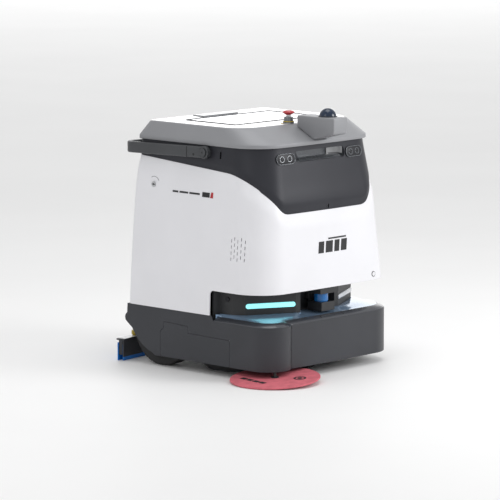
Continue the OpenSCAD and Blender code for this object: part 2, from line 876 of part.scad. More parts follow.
chassis();
upper_frame();
base_shell();
front_deck();
front_wall();
body_shell();
fascia();
grip_scoop();
camera_windows();
camera_modules();
light_bars();
corner_sensors();
scan_lidar_housing();
scan_lidar_window();
scan_lidar_rotor();
handle_pivots();
carry_handle();
key_lock();
front_cap();
speaker();
lid();
body_hinges();
lid_hinge_leaves();
screen_bezel();
screen_glass();
lid_rear_panel();
sensor_nose();
lidar_dome();
lidar_rotor();
estop_base();
estop_stem();
estop_button();
bumper();
bumper_guides();
right_side_door();
left_side_door();
door_hinge_pins();
right_wheel_hub();
right_tyre();
left_wheel_hub();
left_tyre();
drive_motors();
caster_mount();
caster_fork();
caster_wheel();
brush_deck();
deck_skirt();
scrub_motors();
right_scrub_brush();
left_scrub_brush();
side_brush_motor();
side_brush();
squeegee_arm();
squeegee_bracket();
squeegee_blades();
right_squeegee_knob();
left_squeegee_knob();
water_tanks();
power_unit();
charge_contacts();
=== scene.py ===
"""Looks of the robotic floor cleaner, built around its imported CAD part.
Shapes are worked out in millimetres and turned into metres when a mesh is made."""
import json
import math

import bmesh
import bpy
from mathutils import Matrix, Vector


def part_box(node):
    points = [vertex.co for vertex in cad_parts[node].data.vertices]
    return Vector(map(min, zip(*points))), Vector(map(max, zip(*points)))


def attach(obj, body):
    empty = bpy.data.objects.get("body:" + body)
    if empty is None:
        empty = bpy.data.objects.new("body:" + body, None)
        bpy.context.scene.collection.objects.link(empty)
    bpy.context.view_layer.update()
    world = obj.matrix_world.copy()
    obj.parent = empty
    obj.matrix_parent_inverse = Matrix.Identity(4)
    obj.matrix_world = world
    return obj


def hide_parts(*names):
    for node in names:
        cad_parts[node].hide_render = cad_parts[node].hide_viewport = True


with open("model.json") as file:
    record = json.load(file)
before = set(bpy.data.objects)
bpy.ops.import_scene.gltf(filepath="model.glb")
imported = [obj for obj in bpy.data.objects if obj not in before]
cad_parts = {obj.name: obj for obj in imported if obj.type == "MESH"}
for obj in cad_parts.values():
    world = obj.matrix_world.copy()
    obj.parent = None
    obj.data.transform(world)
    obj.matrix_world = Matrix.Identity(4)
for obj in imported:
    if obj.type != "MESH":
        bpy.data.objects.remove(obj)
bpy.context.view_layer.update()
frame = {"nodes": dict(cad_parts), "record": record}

MM = 0.001
SHARP = math.radians(32)


def corner(node, which):
    """Lowest (0) or highest (1) corner of a CAD node, in millimetres."""
    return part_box(node)[which] / MM


# ---- materials ----

MIX_A, MIX_B, MIX_RESULT = 6, 7, 2  # a Mix node's colour sockets


def link(tree, a, out, b, socket):
    """Joins an output of node a to a socket of node b."""
    tree.links.new(a.outputs[out], b.inputs[socket])


def noise(tree, coord, scale, detail=4.0):
    """Noise in the object's own coordinates."""
    n = tree.nodes.new("ShaderNodeTexNoise")
    n.inputs["Scale"].default_value = scale
    n.inputs["Detail"].default_value = detail
    link(tree, coord, "Object", n, "Vector")
    return n


def mix_color(tree, a, b, fac=None):
    """Mix of two colours by the output fac."""
    m = tree.nodes.new("ShaderNodeMix")
    m.data_type = "RGBA"
    m.inputs[MIX_A].default_value = (*a, 1.0)
    m.inputs[MIX_B].default_value = (*b, 1.0)
    if fac is not None:
        tree.links.new(fac, m.inputs[0])
    return m


def spread(tree, fac, low, high, start=0.35, end=0.65):
    """Stretches the output fac from start..end to low..high."""
    r = tree.nodes.new("ShaderNodeMapRange")
    r.inputs["From Min"].default_value = start
    r.inputs["From Max"].default_value = end
    r.inputs["To Min"].default_value = low
    r.inputs["To Max"].default_value = high
    tree.links.new(fac, r.inputs["Value"])
    return r


def material(name, color, rough, metal=0.0, vary=0.05, cloud=7.0, grain=1400.0, bump=0.06, wear=0.12,
             coat=0.0, coat_rough=0.12, edge=0.0012, glow=0.0, stretch=None, spec=0.5):
    """Procedural finish: clouded colour, fine grain in bump and roughness, and edges rounded and rubbed."""
    mat = bpy.data.materials.new(name)
    mat.use_nodes = True
    tree = mat.node_tree
    bsdf = tree.nodes["Principled BSDF"]
    coord = tree.nodes.new("ShaderNodeTexCoord")
    clouds = noise(tree, coord, cloud)
    dark = [c * (1 - vary) for c in color]
    light = [min(1.0, c * (1 + vary)) for c in color]
    base = mix_color(tree, dark, light, spread(tree, clouds.outputs["Fac"], 0, 1).outputs["Result"])
    worn = [min(1.0, c * 1.35 + 0.02) for c in color]
    soft = tree.nodes.new("ShaderNodeBevel")
    soft.samples = 4
    soft.inputs["Radius"].default_value = edge
    geometry = tree.nodes.new("ShaderNodeNewGeometry")
    dot = tree.nodes.new("ShaderNodeVectorMath")
    dot.operation = "DOT_PRODUCT"
    link(tree, soft, "Normal", dot, 0)
    link(tree, geometry, "Normal", dot, 1)
    rub = spread(tree, dot.outputs["Value"], wear, 0.0, 0.90, 1.0)
    rubbed = mix_color(tree, color, worn, rub.outputs["Result"])
    link(tree, base, MIX_RESULT, rubbed, MIX_A)
    link(tree, rubbed, MIX_RESULT, bsdf, "Base Color")
    fine = noise(tree, coord, grain, 2.0)
    if stretch:
        mapping = tree.nodes.new("ShaderNodeMapping")
        mapping.inputs["Scale"].default_value = stretch
        link(tree, coord, "Object", mapping, "Vector")
        tree.links.new(mapping.outputs["Vector"], fine.inputs["Vector"])
    uneven = spread(tree, fine.outputs["Fac"], max(0.02, rough - 0.05), min(1.0, rough + 0.06), 0.3, 0.7)
    link(tree, uneven, "Result", bsdf, "Roughness")
    relief = tree.nodes.new("ShaderNodeBump")
    relief.inputs["Strength"].default_value = bump
    relief.inputs["Distance"].default_value = 0.0004
    link(tree, fine, "Fac", relief, "Height")
    link(tree, soft, "Normal", relief, "Normal")
    link(tree, relief, "Normal", bsdf, "Normal")
    bsdf.inputs["Metallic"].default_value = metal
    bsdf.inputs["Specular IOR Level"].default_value = spec
    bsdf.inputs["Coat Weight"].default_value = coat
    bsdf.inputs["Coat Roughness"].default_value = coat_rough
    if glow:
        link(tree, base, MIX_RESULT, bsdf, "Emission Color")
        bsdf.inputs["Emission Strength"].default_value = glow
    return mat


def glass(name, color, rough, alpha):
    """Tinted clear plastic over whatever is behind it."""
    mat = material(name, color, rough, vary=0.12, cloud=30.0, bump=0.01, wear=0.0, coat=0.4, coat_rough=0.03,
                   spec=0.35)
    bsdf = mat.node_tree.nodes["Principled BSDF"]
    bsdf.inputs["Alpha"].default_value = alpha
    return mat


LOOKS = {
    "shell_white": material("shell_white", (0.80, 0.80, 0.83), 0.36, vary=0.012, bump=0.03, wear=0.0,
                            coat=0.25, coat_rough=0.2),
    "fascia_grey": material("fascia_grey", (0.030, 0.031, 0.038), 0.38, metal=0.15, vary=0.05, bump=0.05,
                            wear=0.15, spec=0.26),
    "lid_silver": material("lid_silver", (0.270, 0.274, 0.289), 0.50, metal=0.1, vary=0.02, bump=0.05,
                           wear=0.2, coat=0.1, coat_rough=0.3),
    # Pale, glossy look. On the lid's top faces it is painted sheen, standing in for the sky's reflection there.
    "lid_pale_and_sheen": material("lid_pale_and_sheen", (0.66, 0.665, 0.68), 0.25, vary=0.01, bump=0.02, wear=0.1, coat=1.0,
                         coat_rough=0.06),
    "base_dark": material("base_dark", (0.034, 0.036, 0.043), 0.40, metal=0.1, vary=0.07, bump=0.08,
                          wear=0.2, spec=0.45),
    # The deck's own finish is dark. This pale blue-grey colour is painted reflection of the sky on the glossy
    # shelf.
    "deck_gloss": material("deck_gloss", (0.26, 0.38, 0.54), 0.12, metal=0.35, vary=0.05, bump=0.01, wear=0.1,
                           coat=0.2, coat_rough=0.03),
    "deck_edge": material("deck_edge", (0.050, 0.054, 0.064), 0.30, metal=0.1, vary=0.05, bump=0.04,
                          wear=0.2, coat=0.4, coat_rough=0.15),
    "black_plastic": material("black_plastic", (0.018, 0.019, 0.021), 0.45, vary=0.12, bump=0.08, wear=0.35),
    "handle_grey": material("handle_grey", (0.058, 0.061, 0.066), 0.40, metal=0.2, vary=0.06, bump=0.08,
                            wear=0.3),
    "recess_grey": material("recess_grey", (0.16, 0.17, 0.185), 0.24, metal=0.5, vary=0.05, bump=0.03,
                            coat=0.6),
    "window_black": material("window_black", (0.022, 0.023, 0.027), 0.38, vary=0.2, bump=0.01, spec=0.25),
    "light_cyan": material("light_cyan", (0.33, 0.93, 0.98), 0.3, vary=0.04, bump=0.01, wear=0.0, glow=0.8),
    "light_off": material("light_off", (0.62, 0.65, 0.70), 0.22, vary=0.04, bump=0.01, wear=0.0,
                          coat=0.8, coat_rough=0.1),
    "window_blue": glass("window_blue", (0.01, 0.16, 0.48), 0.12, 0.93),
    "dome_clear": glass("dome_clear", (0.006, 0.018, 0.045), 0.08, 0.95),
    "display": material("display", (0.88, 0.90, 0.95), 0.12, vary=0.015, bump=0.005, wear=0.0, coat=1.0,
                        coat_rough=0.04, glow=0.35),
    "display_frame": material("display_frame", (0.05, 0.052, 0.058), 0.25, vary=0.1, bump=0.02),
    "steel": material("steel", (0.56, 0.57, 0.58), 0.30, metal=1.0, vary=0.06, grain=500.0, bump=0.10,
                      stretch=(1, 1, 12)),
    "frame_metal": material("frame_metal", (0.035, 0.037, 0.040), 0.5, metal=0.3, vary=0.1, bump=0.2,
                            wear=0.4),
    "rail_aluminium": material("rail_aluminium", (0.62, 0.63, 0.64), 0.38, metal=1.0, vary=0.05, bump=0.12,
                               stretch=(1, 8, 1)),
    "tyre_rubber": material("tyre_rubber", (0.020, 0.020, 0.021), 0.78, vary=0.2, grain=900.0, bump=0.35,
                            wear=0.3),
    "skirt_rubber": material("skirt_rubber", (0.022, 0.022, 0.024), 0.7, vary=0.2, bump=0.25, wear=0.3),
    "blade_blue": material("blade_blue", (0.004, 0.17, 0.60), 0.42, vary=0.08, bump=0.12, wear=0.25),
    "pad_pink": material("pad_pink", (0.60, 0.135, 0.17), 0.75, vary=0.10, cloud=40.0, grain=700.0,
                         bump=0.35, wear=0.0),
    "bristle_dark": material("bristle_dark", (0.018, 0.020, 0.026), 0.62, vary=0.25, grain=600.0, bump=0.5,
                             stretch=(1, 1, 0.05)),
    "knob_yellow": material("knob_yellow", (0.42, 0.30, 0.02), 0.4, vary=0.08, bump=0.1, wear=0.3),
    "stop_red": material("stop_red", (0.42, 0.012, 0.022), 0.25, vary=0.06, bump=0.02, coat=0.6),
    "motor_black": material("motor_black", (0.02, 0.02, 0.022), 0.45, metal=0.4, vary=0.1, bump=0.15,
                            wear=0.4),
    "tank_white": material("tank_white", (0.62, 0.66, 0.66), 0.45, vary=0.05, bump=0.08),
    "contact_brass": material("contact_brass", (0.70, 0.50, 0.22), 0.28, metal=1.0, vary=0.06, bump=0.06),
    "dark_line": material("dark_line", (0.012, 0.012, 0.014), 0.6, vary=0.1, bump=0.05, wear=0.0),
    "mark_red": material("mark_red", (0.45, 0.02, 0.025), 0.5, vary=0.06, bump=0.02, wear=0.0),
    "pale_plate": material("pale_plate", (0.55, 0.56, 0.57), 0.35, metal=0.3, vary=0.05, bump=0.08),
}
# The record's slot that a look of this script's own belongs to.
for part in frame["record"]["subparts"]:
    for held in frame["nodes"][part["node"]].material_slots:
        held.material = LOOKS[part["material_slot"]]


# ---- mesh helpers ----

def add(name, points, faces, look, body, replaced=()):
    """A piece from points in millimetres, in its look, riding a body and standing for the replaced nodes."""
    mesh = bpy.data.meshes.new(name)
    mesh.from_pydata([[c * MM for c in p] for p in points], [], faces)
    bm = bmesh.new()
    bm.from_mesh(mesh)
    bmesh.ops.remove_doubles(bm, verts=bm.verts, dist=1e-6)
    bmesh.ops.recalc_face_normals(bm, faces=bm.faces)
    bm.to_mesh(mesh)
    bm.free()
    mesh.materials.append(LOOKS[look])
    obj = bpy.data.objects.new(name, mesh)
    bpy.context.scene.collection.objects.link(obj)
    soften(obj)
    if body:
        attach(obj, body)
    if replaced:
        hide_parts(*replaced)
    return obj


def soften(obj):
    """Smooth shading with creases kept sharp."""
    for polygon in obj.data.polygons:
        polygon.use_smooth = True
    obj.data.set_sharp_from_angle(angle=SHARP)


def apply_modifiers(obj):
    """Bakes obj's modifiers into its mesh."""
    shaped = bpy.data.meshes.new_from_object(obj.evaluated_get(bpy.context.evaluated_depsgraph_get()))
    obj.modifiers.clear()
    old = obj.data
    obj.data = shaped
    bpy.data.meshes.remove(old)
    soften(obj)


def cut(obj, *tools):
    """Takes the cutters' solids out of obj, then removes them."""
    for tool in tools:
        m = obj.modifiers.new("cut", "BOOLEAN")
        m.operation = "DIFFERENCE"
        m.solver = "EXACT"
        m.object = tool
    apply_modifiers(obj)
    for tool in tools:
        bpy.data.objects.remove(tool)
    return obj


def bevel(obj, width, segments=3):
    """Rounds obj's sharp edges."""
    m = obj.modifiers.new("bevel", "BEVEL")
    m.width = width * MM
    m.segments = segments
    m.limit_method = "ANGLE"
    m.angle_limit = SHARP
    m.harden_normals = False
    apply_modifiers(obj)
    return obj


def grid_faces(rows, cols, start, closed):
    """Quads over a grid of points numbered from start, its last column joined to its first if closed."""
    wrap = cols if closed else cols - 1
    return [(start + r * cols + c, start + r * cols + (c + 1) % cols, start + (r + 1) * cols + (c + 1) % cols,
             start + (r + 1) * cols + c) for r in range(rows - 1) for c in range(wrap)]


def skin(name, outer, inner, closed, look, body, replaced=()):
    """Shell between two grids of points, each a list of rows of the same length."""
    rows, cols = len(outer), len(outer[0])
    points = [p for row in outer for p in row] + [p for row in inner for p in row]
    half = rows * cols
    faces = grid_faces(rows, cols, 0, closed) + grid_faces(rows, cols, half, closed)
    for r in (0, rows - 1):
        for c in range(cols if closed else cols - 1):
            a, b = r * cols + c, r * cols + (c + 1) % cols
            faces.append((a, b, half + b, half + a))
    if not closed:
        for c in (0, cols - 1):
            for r in range(rows - 1):
                a, b = r * cols + c, (r + 1) * cols + c
                faces.append((a, b, half + b, half + a))
    return add(name, points, faces, look, body, replaced)


def prism(name, outline_2d, low, high, plane, look, body, replaced=(), place=None):
    """Outline extruded along the axis that its plane leaves out: "xy" along z, "yz" along x, "xz" along y."""
    order = {"xy": (0, 1, 2), "yz": (1, 2, 0), "xz": (0, 2, 1)}[plane]
    points = []
    for level in (low, high):
        for a, b in outline_2d:
            p = [0, 0, 0]
            p[order[0]], p[order[1]], p[order[2]] = a, b, level
            points.append(place @ Vector(p) if place else p)
    n = len(outline_2d)
    faces = [tuple(range(n)), tuple(range(2 * n - 1, n - 1, -1))]
    faces += [(i, (i + 1) % n, n + (i + 1) % n, n + i) for i in range(n)]
    return add(name, points, faces, look, body, replaced)


def lathe(name, profile, place, look, body, replaced=(), steps=64):
    """Profile of (radius, height) turned about the z axis of the frame place; its ends lie on the axis."""
    points, rows = [], []
    for radius, height in profile:
        if radius < 1e-6:
            rows.append([len(points)] * steps)
            points.append(place @ Vector((0, 0, height)))
        else:
            rows.append(list(range(len(points), len(points) + steps)))
            turns = [2 * math.pi * i / steps for i in range(steps)]
            points += [place @ Vector((radius * math.cos(t), radius * math.sin(t), height)) for t in turns]
    faces = []
    for low, high in zip(rows, rows[1:]):
        for i in range(steps):
            j = (i + 1) % steps
            face = list(dict.fromkeys((low[i], low[j], high[j], high[i])))
            if len(face) > 2:
                faces.append(face)
    return add(name, points, faces, look, body, replaced)


def sweep(name, route, section, look, body, replaced=()):
    """Loft along the route; section has a (centre, side vector, up vector, points) for each point of it."""
    points = [c + side * a + up * b for c, side, up, shape in section for a, b in shape]
    cols = len(section[0][3])
    faces = grid_faces(len(route), cols, 0, True)
    faces += [tuple(range(cols)), tuple(range(len(points) - 1, len(points) - 1 - cols, -1))]
    return add(name, points, faces, look, body, replaced)


TILTED = Vector((0.13, 0.29, 0.95))


def wire(name, route, radius, look, body, closed=False, sides=8):
    """Thin round wire along a route. TILTED is a direction that no route runs along."""
    route = [Vector(p) for p in route]
    points, n = [], len(route)
    for i, p in enumerate(route):
        ahead = route[(i + 1) % n] if closed or i < n - 1 else p
        behind = route[i - 1] if closed or i > 0 else p
        along = (ahead - behind).normalized()
        side = along.cross(TILTED).normalized()
        up = side.cross(along)
        points += [p + radius * (side * math.cos(t) + up * math.sin(t))
                   for t in (2 * math.pi * k / sides for k in range(sides))]
    faces = grid_faces(n, sides, 0, True)
    if closed:
        last = (n - 1) * sides
        faces += [(last + k, last + (k + 1) % sides, (k + 1) % sides, k) for k in range(sides)]
    else:
        faces += [tuple(range(sides)), tuple(range(n * sides - 1, n * sides - 1 - sides, -1))]
    return add(name, points, faces, look, body)


def turned(angle, axis):
    """Rotation by an angle in degrees."""
    return Matrix.Rotation(math.radians(angle), 4, axis)


def arc(x, y, r, start, end, steps):
    """Points on an arc about (x, y) between two angles in degrees, ends included."""
    turn = [math.radians(start + (end - start) * i / steps) for i in range(steps + 1)]
    return [(x + r * math.cos(t), y + r * math.sin(t)) for t in turn]


def mix_point(a, b, t):
    """Point that is part of the way from a to b."""
    return (a[0] + (b[0] - a[0]) * t, a[1] + (b[1] - a[1]) * t)


def line(a, b, steps):
    """Points between a and b, ends left out."""
    return [mix_point(a, b, i / steps) for i in range(1, steps)]


def disc(x, y, r, steps):
    """Circle about (x, y) as an outline."""
    return [(x + a, y + b) for a, b in arc(0, 0, r, 0, 360 - 360 / steps, steps - 1)]


def box_outline(x0, y0, x1, y1, r=0.0, steps=6):
    """Rectangle, with its corners rounded if r is given."""
    if r <= 0:
        return [(x0, y0), (x1, y0), (x1, y1), (x0, y1)]
    return (arc(x1 - r, y0 + r, r, -90, 0, steps) + arc(x1 - r, y1 - r, r, 0, 90, steps)
            + arc(x0 + r, y1 - r, r, 90, 180, steps) + arc(x0 + r, y0 + r, r, 180, 270, steps))


def capsule_outline(length, height, steps=16):
    """Rectangle with round ends."""
    c, r = (length - height) / 2, height / 2
    return arc(c, 0, r, -90, 90, steps) + arc(-c, 0, r, 90, 270, steps)


def cutter(outline_2d, low, high, plane, place=None):
    """Solid to cut with, not a piece: it rides no body."""
    return prism("cutter", outline_2d, low, high, plane, "black_plastic", None, place=place)


# ---- outlines of the covers ----

BODY_HALF = corner("body_shell", 1).x - 2.7  # the skirt flares by what is taken off here
CASING_TOP = corner("fascia", 1).z
SKIRT_LOW = corner("body_shell", 0).z
CASING_LOW = corner("front_wall", 1).z - 3
LID_TOP = corner("lid", 1).z
BASE_LOW = corner("bumper", 0).z
BASE_TOP = corner("bumper", 1).z
WALL = 4
# Half width, front and rear of the casing at its heights.
HALF_W = [(192, BODY_HALF + 3), (285, BODY_HALF), (440, 321), (584, 311), (638, 305), (700, 299), (763, 292)]
FRONT = [(192, 492), (285, 488), (440, 474), (584, 464), (638, 452), (700, 441), (763, 431)]
REAR = [(192, 135), (440, 132), (584, 128.5), (638, 125.5), (700, 120), (763, 112)]


def lookup(z, rows):
    """Value at z, read between the rows of a table of (z, value)."""
    if z <= rows[0][0]:
        return rows[0][1]
    for (z0, a), (z1, b) in zip(rows, rows[1:]):
        if z <= z1:
            return a + (b - a) * (z - z0) / (z1 - z0)
    return rows[-1][1]


def eased(z, rows):
    """The table's value with its bends rounded over a few centimetres."""
    return sum(lookup(z + d, rows) for d in (-20, -10, 0, 10, 20)) / 5


def outline(hw, front, rear, rc, rr, bulge, inset=0.0):
    """Cover seen from above: half width, front and rear, front and rear corner radii, and the front's bulge."""
    hw, front, rear, rc, rr = hw - inset, front - inset, rear - inset, rc - inset, rr - inset
    raw = arc(hw - rr, rear - rr, rr, 0, 90, 8)
    raw += line((hw - rr, rear), (rr - hw, rear), 24)
    raw += arc(rr - hw, rear - rr, rr, 90, 180, 8)
    raw += line((-hw, rear - rr), (-hw, rc - front), 60)
    raw += arc(rc - hw, rc - front, rc, 180, 270, 26)
    raw += line((rc - hw, -front), (hw - rc, -front), 60)
    raw += arc(hw - rc, rc - front, rc, 270, 360, 26)
    raw += line((hw, rc - front), (hw, rear - rr), 60)
    return [(x, y - bulge * (1 - (x / hw) ** 2)) if y < 0 else (x, y) for x, y in raw]


CORNER_R, REAR_R, BOW = 112, 25, 10


def casing_outline(z, inset=0.0):
    """The casing seen from above at a height."""
    return outline(eased(z, HALF_W), eased(z, FRONT), eased(z, REAR), CORNER_R, REAR_R, BOW, inset)


# ---- casing: white cover and grey fascia ----

# The seam between the covers: flat in front, fillets and slopes beside it, then an arc back along the sides.
FASCIA_LOW = 544
FLAT = 176
FILLET = 55
SLOPE = math.radians(48)
SWEEP_Y, SWEEP_Z, SWEEP_R = -284, 458.3, 220
SWEEP_END = math.radians(49)
TILT = math.radians(4.2)


def front_edge(x):
    """Height of the fascia's lower edge seen from the front."""
    out = max(0.0, abs(x) - FLAT)
    bend = FILLET * math.sin(SLOPE)
    if out < bend:
        return FASCIA_LOW + FILLET - math.sqrt(FILLET ** 2 - out ** 2)
    return FASCIA_LOW + FILLET * (1 - math.cos(SLOPE)) + (out - bend) * math.tan(SLOPE)


def side_edge(y):
    """Height of the fascia's lower edge seen from the side."""
    start = SWEEP_Y - SWEEP_R * math.sin(TILT)
    if y > start:
        return SWEEP_Z + SWEEP_R * math.cos(TILT) + (y - start) * math.tan(TILT)
    foot = SWEEP_Y - SWEEP_R * math.cos(SWEEP_END)
    if y > foot:
        return SWEEP_Z + math.sqrt(SWEEP_R ** 2 - (y - SWEEP_Y) ** 2)
    return SWEEP_Z + SWEEP_R * math.sin(SWEEP_END) - (foot - y) * 3.5


def column_edges():
    """Height of the fascia's lower edge on each column of the casing's outline, found by halving the error."""
    count = len(casing_outline(600))
    heights = [620.0] * count
    rounds = 12
    for _ in range(rounds):
        for i in range(count):
            x, y = ring(heights[i], 0.0)[i]
            heights[i] = 0.5 * heights[i] + 0.5 * max(front_edge(x), side_edge(y))
    return heights


GROOVE, BAND, LIP = 4.5, 46.0, 30  # depth of the dip at the seam, and its reach below and above it
RINGS = {}


def ring(z, inset):
    """The casing's outline at a height, kept for the next time it is asked for."""
    key = (round(z, 1), inset)
    if key not in RINGS:
        RINGS[key] = casing_outline(key[0], inset)
    return RINGS[key]


def shifted(z, i, inset):
    """Point i of the outline at a height, drawn in by any amount."""
    reach = 10.0
    return mix_point(ring(z, 0.0)[i], ring(z, reach)[i], inset / reach)


EDGE = column_edges()


def ease(t):
    """Smooth step from 0 to 1."""
    t = min(1.0, max(0.0, t))
    return t * t * (3 - 2 * t)


def casing_point(i, z, inset):
    """Point of column i at height z; both covers dip towards the seam between them."""
    d = EDGE[i] - z
    dip = GROOVE * (1 - d / BAND) if 0 <= d < BAND else GROOVE * (1 - ease(-d / LIP)) if -LIP < d < 0 else 0.0
    x, y = shifted(z, i, inset + dip)
    return (x, y, z)


def casing_grid(low, high, rows, inset):
    """Rows of points between two heights given per column."""
    count = len(EDGE)
    return [[casing_point(i, low(i) + (high(i) - low(i)) * r / rows, inset) for i in range(count)]
            for r in range(rows + 1)]


LOCK_Y, LOCK_Z = 29, 614  # middle of the lock, on the right side
CAP_X, CAP_Z = 219, 305  # middle of the screw cap, on the front
PIVOT_Y, PIVOT_Z = -209, 740  # axis of the bail
RIGHT_SKIN = (-345, -290, "yz")  # reach of a cutter that goes through the casing's right side only


def speaker_cutters():
    """Five columns of upright slots in the right side, every other one a little higher."""
    grille_y, grille_z, pitch_y, pitch_z, tall = -372, 430, 14, 20, 12
    cutters = []
    for c in range(-2, 3):
        for r in range(4):
            z = grille_z - 38 + pitch_z * r + (0 if c % 2 == 0 else 8)
            y = grille_y + pitch_y * c
            cutters.append(cutter(box_outline(y - 1.5, z, y + 1.5, z + tall, 1.4, 3), *RIGHT_SKIN))
    return cutters


def make_casing():
    """White cover with its front notch, and the grey fascia over it, with all their openings."""
    gap, rows_below, rows_above = 0.5, 30, 22
    below_seam = [casing_grid(lambda i: SKIRT_LOW, lambda i: EDGE[i] - gap, rows_below, d) for d in (0.0, WALL)]
    white = skin("casing_white", *below_seam, True, "shell_white", "body", ["body_shell"])
    r, step, ahead, below = 14, -255, -600, 150  # the notch's corner, its rear end, and beyond the casing
    notch = [(ahead, below), (step, below)] + arc(step - r, CASING_LOW - r, r, 0, 90, 8) + [(ahead, CASING_LOW)]
    charge = box_outline(-60, 220, 60, 280)
    cut(white, cutter(notch, -400, 400, "yz"), cutter(charge, 100, 150, "xz"),
        cutter(disc(LOCK_Y, LOCK_Z, 9.3, 24), *RIGHT_SKIN), cutter(disc(CAP_X, CAP_Z, 7.2, 24), -520, -470, "xz"),
        *speaker_cutters())
    above_seam = [casing_grid(lambda i: EDGE[i], lambda i: CASING_TOP, rows_above, d) for d in (0.0, WALL)]
    grey = skin("fascia_cover", *above_seam, True, "fascia_grey", "body", ["fascia"])
    grip = cutter(box_outline(-120, 710, 120, 746, 12), -500, -400, "xz")
    eyes = [cutter(capsule_outline(85, 37), -15, 15, "xz", eye_frame(s)) for s in (-1, 1)]
    side_slot = cutter(box_outline(-274, 722, -267, 745, 1.5), -320, -280, "yz")
    pivots = cutter(disc(PIVOT_Y, PIVOT_Z, 18.3, 48), -340, 340, "yz")
    front_slot = cutter(box_outline(9, 548, 15, 562, 2.8), -480, -455, "xz")
    cut(grey, grip, *eyes, side_slot, pivots, front_slot)


def eye_frame(s):
    """Frame of a camera window, on the right for s = -1 and on the left for s = 1."""
    return Matrix.Translation((s * 167, -444.6, 724)) @ turned(4 * s, "Z") @ turned(-9, "X")


def make_eyes():
    """Camera windows: a dark glossy capsule with a raised rim and two ringed lenses."""
    for s, side in ((-1, "right"), (1, "left")):
        place = eye_frame(s)
        window = prism(f"{side}_camera_window", capsule_outline(84, 36, 24), -1.5, 1.5, "xz", "window_black",
                       "body", ["camera_windows"], place=place)
        bevel(window, 0.8, 2)
        rim = [place @ Vector((x, -1.9, z)) for x, z in capsule_outline(82, 34, 20)]
        wire(f"{side}_camera_rim", rim, 1.2, "recess_grey", "body", closed=True)
        for k, x in enumerate((-17, 17)):
            face = place @ Matrix.Translation((x, -1.5, 0)) @ turned(90, "X")
            lens_ring = [(8.2, 0), (8.4, 1.1), (10.4, 1.1), (10.8, 0.4), (10.8, 0), (8.2, 0)]
            lens = [(0, 0.2), (6.4, 0.35), (5.4, 1.0), (3.2, 1.5), (0, 1.7)]
            lathe(f"{side}_lens_ring_{k}", lens_ring, face, "recess_grey", "body")
            lathe(f"{side}_lens_{k}", lens, face, "window_black", "body")


# ---- lid ----

LID_LOW = CASING_TOP + 1
LID_KNEE = LID_LOW + 12.5


def rim_outline(inset):
    """The lid's rim seen from above."""
    return outline(corner("lid", 1).x, 440, 121, 110, 28, 12, inset)


def top_outline(inset):
    """The lid's flat top seen from above."""
    return outline(284, 347, 80, 85, 24, 7, inset)


def between(a, b, t):
    """Outline that is part of the way from a to b."""
    return [mix_point(p, q, t) for p, q in zip(a, b)]


def make_lid():
    """Lid: an upright rim, a knee and sloping sides up to the flat top, with the display's opening in it."""
    low, knee = LID_LOW, LID_KNEE
    base, top = rim_outline(0), top_outline(0)
    rings = [(low, rim_outline(1.5)), (low + 0.5, rim_outline(0.5)), (low + 1.6, base), (knee - 2.5, base),
             (knee - 0.6, between(base, top, 0.006)), (knee + 1.2, between(base, top, 0.03))]
    start_t, end_t, steps = 0.03, 0.93, 8
    for k in range(1, steps + 1):
        t = start_t + (end_t - start_t) * k / steps
        rings.append((knee + (LID_TOP - knee) * t - 0.2, between(base, top, t)))
    rings += [(LID_TOP - 2.4, between(base, top, 0.975)), (LID_TOP - 0.9, top_outline(2.0)),
              (LID_TOP, top_outline(6.5))]
    cols = len(base)
    points = [(x, y, z) for z, row in rings for x, y in row]
    inner_rings = [(low, rim_outline(WALL)), (knee - 1, rim_outline(WALL)),
                   (LID_TOP - WALL, top_outline(WALL + 4))]
    start = len(points)
    points += [(x, y, z) for z, row in inner_rings for x, y in row]
    faces = grid_faces(len(rings), cols, 0, True) + grid_faces(len(inner_rings), cols, start, True)
    faces += [(i, (i + 1) % cols, start + (i + 1) % cols, start + i) for i in range(cols)]
    faces.append(tuple(range((len(rings) - 1) * cols, len(rings) * cols)))
    faces.append(tuple(range(len(points) - 1, len(points) - 1 - cols, -1)))
    lid = add("lid_cover", points, faces, "lid_silver", "lid", ["lid"])
    screen_low, screen_high = corner("screen_bezel", 0), corner("screen_bezel", 1)

    def screen_outline(grow, r=0.0):
        return box_outline(screen_low.x - grow, screen_low.y - grow, screen_high.x + grow, screen_high.y + grow, r)

    cut(lid, cutter(screen_outline(0.3), LID_TOP - 10, LID_TOP + 9, "xy"))
    # Painted sheen: only faces that look straight up on the lid's top get the paler look, so the top reads lighter
    # than the sides.
    lid.data.materials.append(LOOKS["lid_pale_and_sheen"])
    for polygon in lid.data.polygons:
        if polygon.normal.z > 0.97 and polygon.center.z > (LID_TOP - 1) * MM:
            polygon.material_index = 1
    frame_line = [(x, y, LID_TOP + 1.0) for x, y in screen_outline(-2, 8)]
    wire("display_line", frame_line, 1.4, "dark_line", "lid", closed=True)


